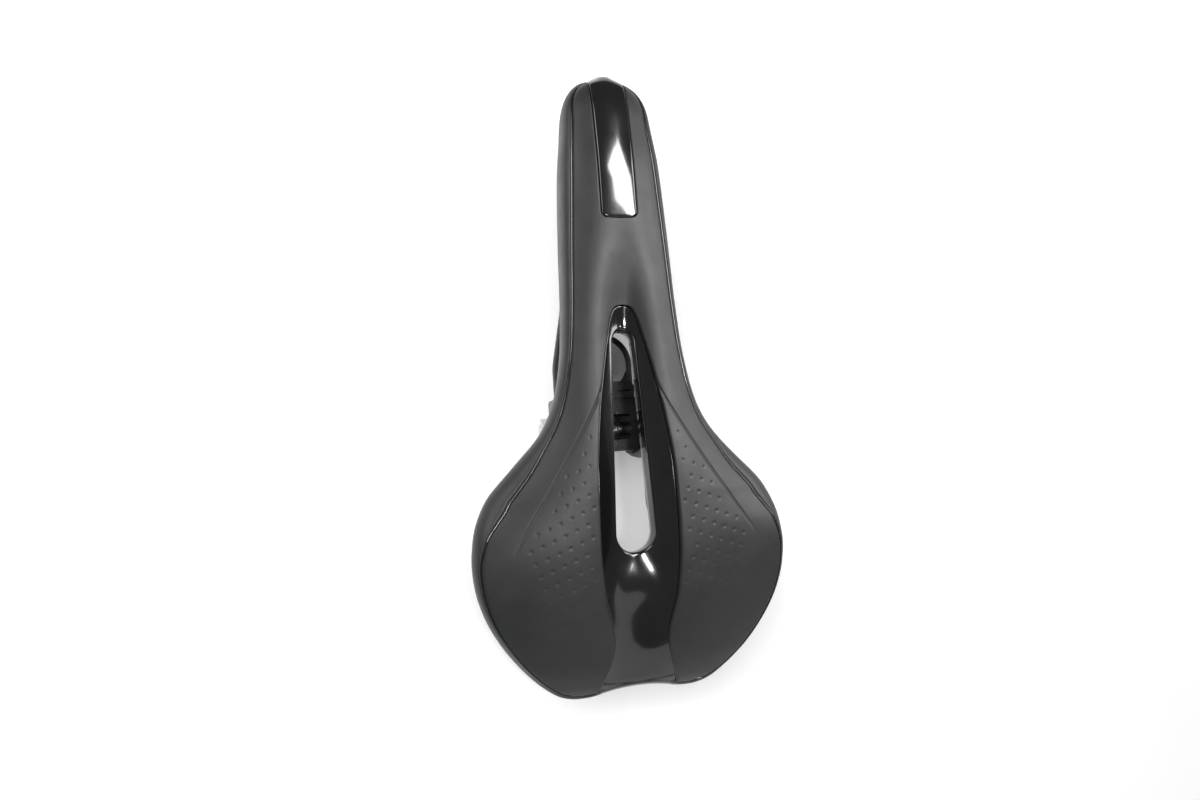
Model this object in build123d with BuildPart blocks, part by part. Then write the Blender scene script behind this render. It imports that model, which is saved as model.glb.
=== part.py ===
from build123d import *

import math
import os

# Bicycle saddle with a centre cut-out, two-rod rail frame and a bolted seat post clamp.
#
# Frame, in millimetres: the origin is on the seat post's axis, at the lower mouth of the clamp's
# post strap. +Y points to the nose of the saddle, +X to the rider's right and +Z up.
#
# The padded body is a stack of shells lofted from the same section: cover, foam and base shell are
# the spaces between one loft and the next. Everything that shapes that section is a profile below.


# ---- Overall size -------------------------------------------------------------------------
NOSE_Y = 135.0
TAIL_Y = -156.0
COVER_THICKNESS = 1.6
VALLEY_CLEARANCE = 8.0
PAD_SIDE = 3.4
SHELL_THICKNESS = 3.0
SHELL_RIM = 4.0
HEM_WIDTH = 6.0
GLUE_LINE = 0.6

# ---- Profiles along the saddle, as (y, value) ----------------------------------------------
# Half of the greatest width, at the bulge of the side skirt.
HALF_WIDTH = [(135, 6), (133, 10.4), (129, 15.2), (126, 17.4), (121, 19.8), (115, 21.4), (108, 22.3),
              (91, 24.3), (76, 25.3), (50, 26.6), (30, 27.4), (16, 28.2), (4, 29.2), (-9, 31.3),
              (-22, 34.6), (-34, 40.6), (-49, 54.1), (-64, 67.6), (-79, 73.6), (-91, 74.8), (-102, 73.6),
              (-114, 70), (-125, 64.4), (-136, 56.2), (-147, 45), (-153, 35), (-156, 25)]
# How far the seam between top cover and side skirt lies inside the bulge.
SEAM_INSET = [(135, 1.5), (115, 3.3), (81, 3.2), (31, 2.6), (1, 2.4), (-16, 2.9), (-34, 4.6),
              (-49, 9.6), (-60, 10.8), (-70, 8.2), (-79, 5.2), (-94, 3), (-136, 2.2), (-156, 1.5)]
SEAM_Z = [(135, 61), (128, 66.6), (112, 70.6), (81, 72.6), (0, 72.8), (-30, 72), (-54, 71.2), (-79, 71.4),
          (-94, 70.6), (-114, 68.4), (-136, 63), (-150, 56.5), (-156, 52.5)]
# Height of the crown, the highest line of each side of the top cover.
CROWN_Z = [(135, 64), (132, 68.6), (126, 72.6), (108, 76), (80, 78.3), (20, 78.3), (-10, 78.8),
           (-35, 80), (-54, 80.8), (-80, 80.2), (-105, 77.6), (-125, 73), (-140, 67), (-150, 60),
           (-156, 54.5)]
# The valley along the middle: its depth below the crown, and its half width.
VALLEY_DEPTH = [(135, 0), (70, 0), (50, 1.5), (35, 4), (22, 6.5), (6, 8.5), (-54, 9), (-84, 12),
                (-110, 10), (-130, 5), (-150, 0.5), (-156, 0)]
VALLEY_HALF = [(135, 8), (70, 8), (22, 10), (-20, 12), (-84, 14), (-156, 18)]
HEM_Z = [(135, 54), (127, 48), (106, 44), (60, 45), (20, 47), (-20, 49.5), (-50, 52), (-80, 53),
         (-110, 52), (-136, 49.5), (-156, 48)]
# Thickness of the foam between cover and base shell.
PAD_DEPTH = [(135, 4), (121, 9), (97, 12), (20, 13), (-60, 14), (-110, 13), (-135, 8), (-156, 2)]
CROWN_POWER = 2.4
BULGE_DROP = 7.0
HEM_TUCK = 3.0

# ---- Centre channel and cut-out --------------------------------------------------------------
CHANNEL_TIP_Y = 22.5
CHANNEL_HALF = [(22.5, 0.8), (20, 4.6), (6, 8.8), (-12, 12.6), (-29, 15.5), (-54, 18), (-84, 18.6),
                (-109, 16.8), (-130, 12.6), (-157, 20)]
CHANNEL_FLOOR_Z = [(22.5, 70.5), (12, 69), (-30, 68.5), (-92, 67), (-130, 64.5), (-150, 58.7),
                   (-157, 53.2)]
CHANNEL_RECESS = 1.0                 # the tray's edge lies this far below the cover
TRAY_THICKNESS = 2.2
SLOT_FRONT = (11.0 - 5.5, 5.5)       # centre y and radius of the slot's front end
SLOT_REAR = (-81.5, 9.3)             # centre y and radius of its rear end
SLOT_LIP = 1.8                       # wall of the tray's lip around the slot
SLOT_LIP_BOTTOM = 60.5
REAR_WRAP_Y = -149.0                 # behind this the tray wraps down over the tail
NOTCH_DEPTH = 3.0                    # the shallow notch between the rear lobes
NOTCH_R = 68.0

# ---- Nose panel --------------------------------------------------------------------------------
PANEL_HALF = 8.8
PANEL_REAR_Y = 61.5
PANEL_CORNER = 3.6

# ---- Rails ---------------------------------------------------------------------------------------
RAIL_R = 3.5
RAIL_X = 22.0
RAIL_Z = 30.0
RAIL_CORNERS_Y = (-72.0, -1.0)       # where the rail leaves its straight stretch
RAIL_REAR = (31.0, -134.0, 47.5)     # x, y, z of each end
RAIL_NOSE = (6.0, 100.0, 50.0)
RAIL_BEND_R = 20.0

# ---- Seat post clamp ------------------------------------------------------------------------------
POST_R = 12.75
STRAP_THICKNESS = 3.0
STRAP_HEIGHT = 30.0
STRAP_REAR_Y = -44.0
CAP_HALF = 15.5
CAP_FRONT_Y = -9.0
CAP_TOP_Z = 34.5
CAP_BASE = 2.5                       # cap thickness in front of its step
CAP_STEP_Y = -20.5
CAP_RIBS_Y = (-12.6, -16.6)
CAP_SETBACK = 4.0                    # the block's wings stop this far behind the post's axis
BOLT_Y = -32.6
BOLT_Z = STRAP_HEIGHT / 2
BOLT_R = 3.95
BOLT_HOLE_R = 4.05
BOLT_HALF_LENGTH = 30.6
WINDOW_HALF = 12.0
WINDOW_Y = (-38.4, -25.6)
CRADLE_HALF_LENGTH = 15.5
CRADLE_TOP_Z = 36.5
CRADLE_BLOCK_Z = 22.0                # the block around the rail starts at this height
DISC_R = 14.4
TOOTH_HEIGHT = 0.8
TOOTH_COUNT = 36
TOOTH_GROOVE = 0.9
SIDE_GAP = 0.3                       # between strap teeth and cradle teeth
SPLIT_GAP = 0.6                      # between the two halves that grip a rail
GROOVE_R = RAIL_R + 0.1
OUTER_CLAMP_R = 10.0
OUTER_CLAMP_FACE = 24.6
OUTER_CLAMP_GRIP = 27.0
WASHER_R = 6.9
WASHER_THICKNESS = 1.0
NUT_FLATS = 13.0
NUT_HEIGHT = 4.4
BEAD_R = 0.8
BEAD_STATIONS = (125, 106, 88, 66, 50, 20, -5, -20, -34, -48, -62, -78, -95, -115, -132)
STAPLE_STATIONS = (-128, -112, -96, -80, -66, -52, -38, -22, -4, 16, 36, 56, 76, 98)
NOSE_SOCKET_HALF = 11.0
REAR_SOCKET_HALF = 9.5
SOCKET_ROUND = 2.0
STAPLE_WIDTH = 9.0
STAPLE_WIRE = 0.9
STAPLE_SEAT = 0.75                   # how far the middle of a staple lies below the hem

os.makedirs("parts", exist_ok=True)


def at(profile, y):
    """The value of a profile at y, on a smooth curve through its points (Hermite, no overshoot)."""
    points = sorted(profile)
    if y <= points[0][0]:
        return points[0][1]
    if y >= points[-1][0]:
        return points[-1][1]
    slopes = [(b[1] - a[1]) / (b[0] - a[0]) for a, b in zip(points, points[1:])]
    i = max(k for k in range(len(slopes)) if points[k][0] <= y)

    def tangent(k):
        if k in (0, len(slopes)):
            return slopes[min(k, len(slopes) - 1)]
        before, after = slopes[k - 1], slopes[k]
        return 0.0 if before * after <= 0 else 2 * before * after / (before + after)

    (y0, v0), (y1, v1) = points[i], points[i + 1]
    span = y1 - y0
    t = (y - y0) / span
    return ((1 + 2 * t) * (1 - t) ** 2 * v0 + t * (1 - t) ** 2 * span * tangent(i)
            + t * t * (3 - 2 * t) * v1 - t * t * (1 - t) * span * tangent(i + 1))


def top_z(x, y, valley=1.0):
    """Height of the top cover's outside over a point inside the seam."""
    seam_half = at(HALF_WIDTH, y) - at(SEAM_INSET, y)
    share = min(1.0, abs(x) / seam_half)
    crown, seam = at(CROWN_Z, y), at(SEAM_Z, y)
    dip = valley * at(VALLEY_DEPTH, y) * math.exp(-((x / at(VALLEY_HALF, y)) ** 2))
    return crown - (crown - seam) * share ** CROWN_POWER - dip * (1 - share ** 2)


SHARES = (0, 0.25, 0.5, 0.78, 1)       # of the half width, where a section's top is set
ACROSS_PARAMETERS = [-share for share in reversed(SHARES)] + list(SHARES[1:])


def section(y, side, top, low, valley):
    """One half section, set in by side and top: its points over the top from the centre line to
    the seam, then the bulge and the hem."""
    half = at(HALF_WIDTH, y)
    seam_half = half - at(SEAM_INSET, y)
    over_top = [((seam_half - side) * share, top_z(seam_half * share, y, valley) - top)
                for share in SHARES]
    seam_x, seam_z = over_top[-1]
    over_top[-1] = (seam_x, seam_z + 0.2 * top)
    bulge = (half - side, max(seam_z - BULGE_DROP, (seam_z + low) / 2))
    hem = (half - side - min(HEM_TUCK, half / 4), min(low, seam_z - 3.0))
    return over_top, bulge, hem


STATIONS = [135, 133, 129, 121, 106, 88, 66, 46, 24, 4, -12, -26, -40, -54, -68, -84, -102, -122,
            -138, -148, -153.5, -156]


def skirt_curve(seam, bulge, hem, way):
    """Control points of the curve from the seam through the bulge to the hem, on side way."""
    control = (2 * bulge[0] - (seam[0] + hem[0]) / 2, 2 * bulge[1] - (seam[1] + hem[1]) / 2)
    return [(way * x, z) for x, z in (seam, control, hem)]


def lofted_body(side, skin, ends, lift=0.0, floor=None, pad=0.0, valley=1.0):
    """One nested loft of the padded body.

    Its sides are set in by side, its ends by ends, and its top by skin and a share of the padding.
    Its hem is raised by lift, or brought down to floor.
    """
    middle = (NOSE_Y + TAIL_Y) / 2
    shrink = 1 - ends / (NOSE_Y - middle)
    with BuildPart() as body:
        for station in STATIONS:
            y = middle + (station - middle) * shrink
            low = at(HEM_Z, y) + lift if floor is None else floor
            over_top, bulge, hem = section(y, side, skin + pad * at(PAD_DEPTH, y), low, valley)
            across = [(-x, z) for x, z in reversed(over_top)] + over_top[1:]
            plane = Plane(origin=(0, y, 0), x_dir=(1, 0, 0), z_dir=(0, -1, 0))
            with BuildSketch(plane):
                with BuildLine():
                    add(Edge.make_spline(across, parameters=ACROSS_PARAMETERS))
                    for way in (-1, 1):
                        Bezier(*skirt_curve(over_top[-1], bulge, hem, way))
                    Line(hem, (-hem[0], hem[1]))
                make_face()
        loft()
    return body.part


def plan_outline(profile, low_y, high_y, count=14):
    """Points of one side of a plan outline whose half width follows a profile."""
    return [(at(profile, y), y) for y in
            (low_y + (high_y - low_y) * k / (count - 1) for k in range(count))]


def channel_column():
    """The column over the centre channel's plan outline."""
    side = plan_outline(CHANNEL_HALF, TAIL_Y - 1.0, CHANNEL_TIP_Y)
    with BuildPart() as column:
        with BuildSketch(Plane.XY.offset(40)):
            with BuildLine():
                right = Spline(*side)
                left = Spline(*[(-x, y) for x, y in side])
                Line(right @ 1, left @ 1)
                Line(left @ 0, right @ 0)
            make_face()
        extrude(amount=60)
    return column.part


def slot_column(grow, low, high):
    """The cut-out's column: the hull of its two end circles, grown all round."""
    front_y, front_r = SLOT_FRONT
    rear_y, rear_r = SLOT_REAR
    with BuildPart() as column:
        with BuildSketch(Plane.XY.offset(low)):
            with Locations((0, front_y)):
                Circle(front_r + grow)
            with Locations((0, rear_y)):
                Circle(rear_r + grow)
            make_hull()
        extrude(amount=high - low)
    return column.part


def above_channel_floor(drop):
    """Everything above the channel's dished floor, lowered by drop."""
    with BuildPart() as space:
        for y in (24, 14, -6, -29, -54, -84, -109, -130, -148, -158):
            half = at(CHANNEL_HALF, y) + 1.0
            edge = top_z(half - 1.0, y) - CHANNEL_RECESS - drop
            floor = min(at(CHANNEL_FLOOR_Z, y) - drop, edge)
            shares = (-1, -0.5, 0, 0.5, 1)
            dish = [(half * share, floor + (edge - floor) * abs(share) ** 1.8) for share in shares]
            plane = Plane(origin=(0, y, 0), x_dir=(1, 0, 0), z_dir=(0, -1, 0))
            with BuildSketch(plane):
                with BuildLine():
                    add(Edge.make_spline(dish, parameters=shares))
                    Polyline(dish[-1], (half, 100), (-half, 100), dish[0])
                make_face()
        loft()
    return space.part


def above_line(profile, lift):
    """Everything above a side view profile, raised by lift."""
    points = [(y, at(profile, y) + lift) for y in (170, NOSE_Y, 127, 112, 81, 40, 0, -30, -54, -79,
                                                   -94, -114, -136, -150, TAIL_Y, -200)]
    with BuildPart() as space:
        with BuildSketch(Plane.YZ.offset(-100)):
            with BuildLine():
                line = Spline(*points)
                Polyline(line @ 1, (-200, 120), (170, 120), line @ 0)
            make_face()
        extrude(amount=200)
    return space.part


def panel_column():
    """The column over the nose panel's plan outline, open to the front."""
    with BuildPart() as column:
        with BuildSketch(Plane.XY.offset(30)):
            with Locations((0, (PANEL_REAR_Y + 140) / 2)):
                Rectangle(2 * PANEL_HALF, 140 - PANEL_REAR_Y)
            fillet([v for v in vertices() if v.Y < PANEL_REAR_Y + 1], PANEL_CORNER)
        extrude(amount=70)
    return column.part


def seam_column():
    """The column inside the seam, where the cover's valley may lie lower than the seam."""
    with BuildPart() as column:
        with BuildSketch(Plane.XY.offset(30)):
            with BuildLine():
                side = [(seam_point(y, 1)[0] * 0.8, y) for y in
                        (TAIL_Y, -140, -120, -100, -84, -70, -56, -42, -28, -12, 10, 40, 80, 112, 129)]
                Polyline(*side, *[(-x, y) for x, y in reversed(side)], close=True)
            make_face()
        extrude(amount=70)
    return column.part


def hem_opening():
    """The opening inside the cover's folded hem, seen from below."""
    side = [(max(at(HALF_WIDTH, y) - HEM_TUCK - HEM_WIDTH, 2.0), y)
            for y in (TAIL_Y + 15, -130, -110, -90, -72, -56, -40, -25, -8, 16, 50, 80, 104, NOSE_Y - 15)]
    with BuildPart() as column:
        with BuildSketch(Plane.XY.offset(20)):
            with BuildLine():
                right = Spline(*side)
                left = Spline(*[(-x, y) for x, y in side])
                Line(right @ 1, left @ 1)
                Line(left @ 0, right @ 0)
            make_face()
        extrude(amount=40)
    return column.part


def box(low, high):
    """A box between two opposite corners."""
    with BuildPart() as block:
        with Locations(((low[0] + high[0]) / 2, (low[1] + high[1]) / 2, (low[2] + high[2]) / 2)):
            Box(high[0] - low[0], high[1] - low[1], high[2] - low[2])
    return block.part


def seam_point(y, side):
    """A point of the seam line on one side."""
    return (side * (at(HALF_WIDTH, y) - at(SEAM_INSET, y)), y, at(SEAM_Z, y))


# The nested lofts and the columns that cut them.
with BuildPart() as notch:
    with Locations((0, TAIL_Y - NOTCH_R + NOTCH_DEPTH, 50)):
        Cylinder(NOTCH_R, 80)
with BuildPart() as inner_notch:
    with Locations((0, TAIL_Y - NOTCH_R + NOTCH_DEPTH, 50)):
        Cylinder(NOTCH_R + COVER_THICKNESS, 80)
outer = lofted_body(0.0, 0.0, 0.0) - notch.part
inner = lofted_body(COVER_THICKNESS, COVER_THICKNESS, COVER_THICKNESS, lift=COVER_THICKNESS)
inner = inner - inner_notch.part
shell_outer = lofted_body(COVER_THICKNESS + PAD_SIDE, COVER_THICKNESS, 7.0, floor=34.0, pad=1.0,
                          valley=0.0)
shell_inner = lofted_body(COVER_THICKNESS + PAD_SIDE + SHELL_RIM, COVER_THICKNESS + SHELL_THICKNESS,
                          14.0, floor=30.0, pad=1.0, valley=0.0)
channel = channel_column()
over_tray = above_channel_floor(0.0)
over_tray_back = above_channel_floor(TRAY_THICKNESS)
slot_open = slot_column(0.0, 20, 110)
slot_lip = slot_column(SLOT_LIP, 20, 110)
over_seam = above_line(SEAM_Z, 0.0) + (seam_column() & above_line(HEM_Z, VALLEY_CLEARANCE))
over_hem = above_line(HEM_Z, COVER_THICKNESS + GLUE_LINE)
panel = panel_column()
hem_hole = hem_opening()
skin = outer - inner - hem_hole
tray_layer = (channel & over_tray_back) - over_tray
tray_well = channel & over_tray_back

# The gloss bead that lies in the seam, on each side from the nose panel to the tail.
beads = {}
for name, side in (("seam_bead_left", -1), ("seam_bead_right", 1)):
    with BuildPart() as seam_bead:
        with BuildLine() as bead_path:
            Spline(*[seam_point(y, side) for y in BEAD_STATIONS])
        with BuildSketch(bead_path.line ^ 0):
            Circle(BEAD_R)
        sweep()
    seam_bead.part.label = name
    export_step(seam_bead.part, f"parts/{name}.step")
    beads[side] = seam_bead.part

# ---- Top cover: the skin above the seam, round the nose panel and the channel ----------------
with BuildPart() as top_cover:
    add(skin & over_seam)
    add(panel, mode=Mode.SUBTRACT)
    add(channel, mode=Mode.SUBTRACT)
    for bead in beads.values():
        add(bead, mode=Mode.SUBTRACT)
top_cover.part.label = "top_cover"
export_step(top_cover.part, "parts/top_cover.step")

# ---- Side skirts: the skin below the seam, with the hem folded under -------------------------
rear_wrap = (skin & channel & box((-30, TAIL_Y - 5, 20), (30, REAR_WRAP_Y, 90))) - tray_well
with BuildPart() as side_skirt_right:
    add(skin & box((0, -200, 20), (90, 170, 110)))
    add(over_seam, mode=Mode.SUBTRACT)
    add(panel, mode=Mode.SUBTRACT)
    add(rear_wrap, mode=Mode.SUBTRACT)
    add(tray_well, mode=Mode.SUBTRACT)
    add(beads[1], mode=Mode.SUBTRACT)
side_skirt_right.part.label = "side_skirt_right"
export_step(side_skirt_right.part, "parts/side_skirt_right.step")

with BuildPart() as side_skirt_left:
    mirror(side_skirt_right.part, about=Plane.YZ)
side_skirt_left.part.label = "side_skirt_left"
export_step(side_skirt_left.part, "parts/side_skirt_left.step")

# ---- Nose panel: a gloss strip over the nose, down to the hem --------------------------------
with BuildPart() as nose_panel:
    add(skin & panel)
nose_panel.part.label = "nose_panel"
export_step(nose_panel.part, "parts/nose_panel.step")

# ---- Centre trim: the gloss tray round the cut-out, its lip and the wrap over the tail ---------
with BuildPart() as centre_trim:
    add(tray_layer & outer)
    add(slot_column(SLOT_LIP, SLOT_LIP_BOTTOM, 90) & channel, mode=Mode.ADD)
    add(over_tray, mode=Mode.SUBTRACT)
    add(rear_wrap)
    add(slot_open, mode=Mode.SUBTRACT)
centre_trim.part.label = "centre_trim"
export_step(centre_trim.part, "parts/centre_trim.step")

# ---- Foam: everything between the skin, the tray and the base shell ---------------------------
with BuildPart() as foam_pad:
    add(inner)
    add(shell_outer, mode=Mode.SUBTRACT)
    add(tray_well, mode=Mode.SUBTRACT)
    add(slot_lip, mode=Mode.SUBTRACT)
    for bead in beads.values():
        add(bead, mode=Mode.SUBTRACT)
foam_pad.part.label = "foam_pad"
export_step(foam_pad.part, "parts/foam_pad.step")

# ---- Base shell: a moulded shell with a thick rim ------------------------------------------------
with BuildPart() as base_shell:
    add(shell_outer)
    add(shell_inner, mode=Mode.SUBTRACT)
    add(over_hem, mode=Mode.INTERSECT)
    add(tray_well, mode=Mode.SUBTRACT)
    add(slot_lip, mode=Mode.SUBTRACT)
base_shell.part.label = "base_shell"
export_step(base_shell.part, "parts/base_shell.step")

# ---- Staples: they hold the folded hem to the shell's rim --------------------------------------
with BuildPart() as cover_staples:
    for y in STAPLE_STATIONS:
        low, ahead = at(HEM_Z, y), at(HEM_Z, y + 1.0)
        across = at(HALF_WIDTH, y) - HEM_TUCK - HEM_WIDTH / 2
        for side in (-1, 1):
            seat = Plane(origin=(side * across, y, low - STAPLE_SEAT), x_dir=(0, 1, ahead - low),
                         z_dir=(0, low - ahead, 1))
            with Locations(seat):
                Box(STAPLE_WIDTH, STAPLE_WIRE, STAPLE_WIRE)
cover_staples.part.label = "cover_staples"
export_step(cover_staples.part, "parts/cover_staples.step")

# ---- Rails -------------------------------------------------------------------------------------------
rails = {}
for name, side in (("rail_left", -1), ("rail_right", 1)):
    with BuildPart() as rail:
        with BuildLine() as rail_path:
            FilletPolyline(
                (side * RAIL_REAR[0], RAIL_REAR[1], RAIL_REAR[2]),
                (side * RAIL_X, RAIL_CORNERS_Y[0], RAIL_Z),
                (side * RAIL_X, RAIL_CORNERS_Y[1], RAIL_Z),
                (side * RAIL_NOSE[0], RAIL_NOSE[1], RAIL_NOSE[2]),
                radius=RAIL_BEND_R,
            )
        with BuildSketch(rail_path.line ^ 0):
            Circle(RAIL_R)
        sweep()
    rail.part.label = name
    export_step(rail.part, f"parts/{name}.step")
    rails[side] = rail.part

# ---- Sockets: blocks that fill the shell round each rail end ----------------------------------------
def socket(name, low, high, held):
    """A block whose top follows the shell's inside, bored for the rails that it holds."""
    with BuildPart() as block:
        with BuildSketch(Plane.XY.offset(low[2])):
            with Locations(((low[0] + high[0]) / 2, (low[1] + high[1]) / 2)):
                RectangleRounded(high[0] - low[0], high[1] - low[1], SOCKET_ROUND)
        extrude(amount=high[2] - low[2])
        add(shell_inner, mode=Mode.INTERSECT)
        for rail in held:
            add(rail, mode=Mode.SUBTRACT)
    block.part.label = name
    export_step(block.part, f"parts/{name}.step")


socket("nose_socket", (-NOSE_SOCKET_HALF, 90, 45.5), (NOSE_SOCKET_HALF, 108, 70), rails.values())
for name, side in (("rear_socket_left", -1), ("rear_socket_right", 1)):
    middle = side * RAIL_REAR[0]
    socket(name, (middle - REAR_SOCKET_HALF, -139, 40.5), (middle + REAR_SOCKET_HALF, -119, 70),
           [rails[side]])

# ---- Post strap: a U of flat steel round the seat post, toothed round the bolt ------------------------
strap_outer = POST_R + STRAP_THICKNESS
tooth_face = strap_outer + TOOTH_HEIGHT


def toothed_ring(inner_x, outer_x, side):
    """A ring of radial teeth about the bolt, between two distances from the middle."""
    start = Plane(origin=(side * inner_x, BOLT_Y, BOLT_Z), x_dir=(0, 1, 0), z_dir=(side, 0, 0))
    with BuildPart() as ring:
        with BuildSketch(start):
            Circle(DISC_R - 1.4)
            Circle(WASHER_R, mode=Mode.SUBTRACT)
            with PolarLocations(DISC_R - 3.0, TOOTH_COUNT):
                Rectangle(12, TOOTH_GROOVE, mode=Mode.SUBTRACT)
        extrude(amount=outer_x - inner_x)
    return ring.part


with BuildPart() as post_strap:
    with BuildSketch():
        Circle(strap_outer)
        with Locations((0, STRAP_REAR_Y / 2)):
            Rectangle(2 * strap_outer, -STRAP_REAR_Y)
        Circle(POST_R, mode=Mode.SUBTRACT)
        with Locations((0, STRAP_REAR_Y / 2 - 1)):
            Rectangle(2 * POST_R, 2 - STRAP_REAR_Y, mode=Mode.SUBTRACT)
    extrude(amount=STRAP_HEIGHT)
    rear_corners = post_strap.edges().filter_by(Axis.X).filter_by(lambda e: e.center().Y < STRAP_REAR_Y + 1)
    fillet(rear_corners, 5.0)
    with Locations(Plane(origin=(0, BOLT_Y, BOLT_Z), z_dir=(1, 0, 0))):
        Cylinder(BOLT_HOLE_R, 60, mode=Mode.SUBTRACT)
    for side in (-1, 1):
        add(toothed_ring(strap_outer, tooth_face, side))
post_strap.part.label = "post_strap"
export_step(post_strap.part, "parts/post_strap.step")

# ---- Clamp cap: the cast block between the strap's legs, with a window over the bolt -----------------
with BuildPart() as clamp_cap:
    with BuildSketch():
        with Locations((0, (STRAP_REAR_Y + 0.5) / 2)):
            Rectangle(2 * POST_R, 0.5 - STRAP_REAR_Y)
        Circle(POST_R, mode=Mode.SUBTRACT)
        with Locations((0, 5)):
            Rectangle(40, 10 + 2 * CAP_SETBACK, mode=Mode.SUBTRACT)
    extrude(amount=STRAP_HEIGHT)
    with BuildSketch(Plane.XY.offset(STRAP_HEIGHT)):
        with Locations((0, (CAP_FRONT_Y + STRAP_REAR_Y) / 2)):
            RectangleRounded(2 * CAP_HALF, CAP_FRONT_Y - STRAP_REAR_Y, 3.0)
    extrude(amount=CAP_BASE)
    with BuildSketch(Plane.XY.offset(STRAP_HEIGHT + CAP_BASE)):
        for rib_y in CAP_RIBS_Y:
            with Locations((0, rib_y)):
                RectangleRounded(2 * CAP_HALF - 2, 1.9, 0.9)
        with Locations((0, (CAP_STEP_Y + STRAP_REAR_Y) / 2)):
            RectangleRounded(2 * CAP_HALF, CAP_STEP_Y - STRAP_REAR_Y, 3.0)
    extrude(amount=CAP_TOP_Z - STRAP_HEIGHT - CAP_BASE)
    add(box((-WINDOW_HALF, WINDOW_Y[0], BOLT_Z - BOLT_R - 0.8), (WINDOW_HALF, WINDOW_Y[1], 60)),
        mode=Mode.SUBTRACT)
    with Locations(Plane(origin=(0, BOLT_Y, BOLT_Z), z_dir=(1, 0, 0))):
        Cylinder(BOLT_HOLE_R, 60, mode=Mode.SUBTRACT)
clamp_cap.part.label = "clamp_cap"
export_step(clamp_cap.part, "parts/clamp_cap.step")

# ---- Cradles and outer clamps: the two halves that grip each rail ---------------------------------------
cradle_face = tooth_face + SIDE_GAP
cradle_back = cradle_face + TOOTH_HEIGHT
split_low = RAIL_X - SPLIT_GAP / 2
split_high = RAIL_X + SPLIT_GAP / 2


def grip_half(name, side, inner_x, outer_x, disc_r):
    """A plate about the bolt with a block at its top, grooved for the rail."""
    start = Plane(origin=(side * inner_x, BOLT_Y, BOLT_Z), x_dir=(0, side, 0), z_dir=(side, 0, 0))
    block_height = CRADLE_TOP_Z - CRADLE_BLOCK_Z
    with BuildPart() as half:
        with BuildSketch(start):
            Circle(disc_r)
            with Locations((0, (CRADLE_TOP_Z + CRADLE_BLOCK_Z) / 2 - BOLT_Z)):
                RectangleRounded(2 * CRADLE_HALF_LENGTH, block_height, 2.5)
            make_hull()
        extrude(amount=outer_x - inner_x)
        if disc_r == DISC_R:
            add(toothed_ring(inner_x - TOOTH_HEIGHT, inner_x, side))
        else:
            with BuildSketch(start):
                with Locations((0, (CRADLE_TOP_Z + CRADLE_BLOCK_Z) / 2 - BOLT_Z)):
                    RectangleRounded(2 * CRADLE_HALF_LENGTH, block_height, 2.5)
            extrude(amount=OUTER_CLAMP_GRIP - inner_x)
        with Locations(Plane(origin=(0, BOLT_Y, BOLT_Z), z_dir=(1, 0, 0))):
            Cylinder(BOLT_HOLE_R, 80, mode=Mode.SUBTRACT)
        with Locations(Plane(origin=(side * RAIL_X, BOLT_Y, RAIL_Z), z_dir=(0, 1, 0))):
            Cylinder(GROOVE_R, 60, mode=Mode.SUBTRACT)
    half.part.label = name
    export_step(half.part, f"parts/{name}.step")


for word, side in (("left", -1), ("right", 1)):
    grip_half(f"inner_cradle_{word}", side, cradle_back, split_low, DISC_R)
    grip_half(f"outer_clamp_{word}", side, split_high, OUTER_CLAMP_FACE, OUTER_CLAMP_R)

# ---- Bolt, washers and nuts ----------------------------------------------------------------------------------
across_bolt = Plane(origin=(0, BOLT_Y, BOLT_Z), x_dir=(0, 1, 0), z_dir=(1, 0, 0))
with BuildPart() as clamp_bolt:
    with BuildSketch(across_bolt.offset(-BOLT_HALF_LENGTH)):
        Circle(BOLT_R)
    extrude(amount=2 * BOLT_HALF_LENGTH)
    chamfer(clamp_bolt.edges().filter_by(GeomType.CIRCLE), 0.7)
clamp_bolt.part.label = "clamp_bolt"
export_step(clamp_bolt.part, "parts/clamp_bolt.step")

for word, side in (("left", -1), ("right", 1)):
    face = Plane(origin=(side * OUTER_CLAMP_FACE, BOLT_Y, BOLT_Z), x_dir=(0, 1, 0), z_dir=(side, 0, 0))
    with BuildPart() as washer:
        with BuildSketch(face):
            Circle(WASHER_R)
            Circle(BOLT_HOLE_R, mode=Mode.SUBTRACT)
        extrude(amount=WASHER_THICKNESS)
    washer.part.label = f"clamp_washer_{word}"
    export_step(washer.part, f"parts/clamp_washer_{word}.step")
    with BuildPart() as nut:
        with BuildSketch(face.offset(WASHER_THICKNESS)):
            RegularPolygon(NUT_FLATS / 2, 6, major_radius=False)
            Circle(BOLT_HOLE_R, mode=Mode.SUBTRACT)
        extrude(amount=NUT_HEIGHT)
        chamfer(nut.edges().filter_by(GeomType.CIRCLE), 0.5)
    nut.part.label = f"clamp_nut_{word}"
    export_step(nut.part, f"parts/clamp_nut_{word}.step")
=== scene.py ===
import math

import bmesh
import bpy
import numpy as np
from mathutils import Matrix, Vector


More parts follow.
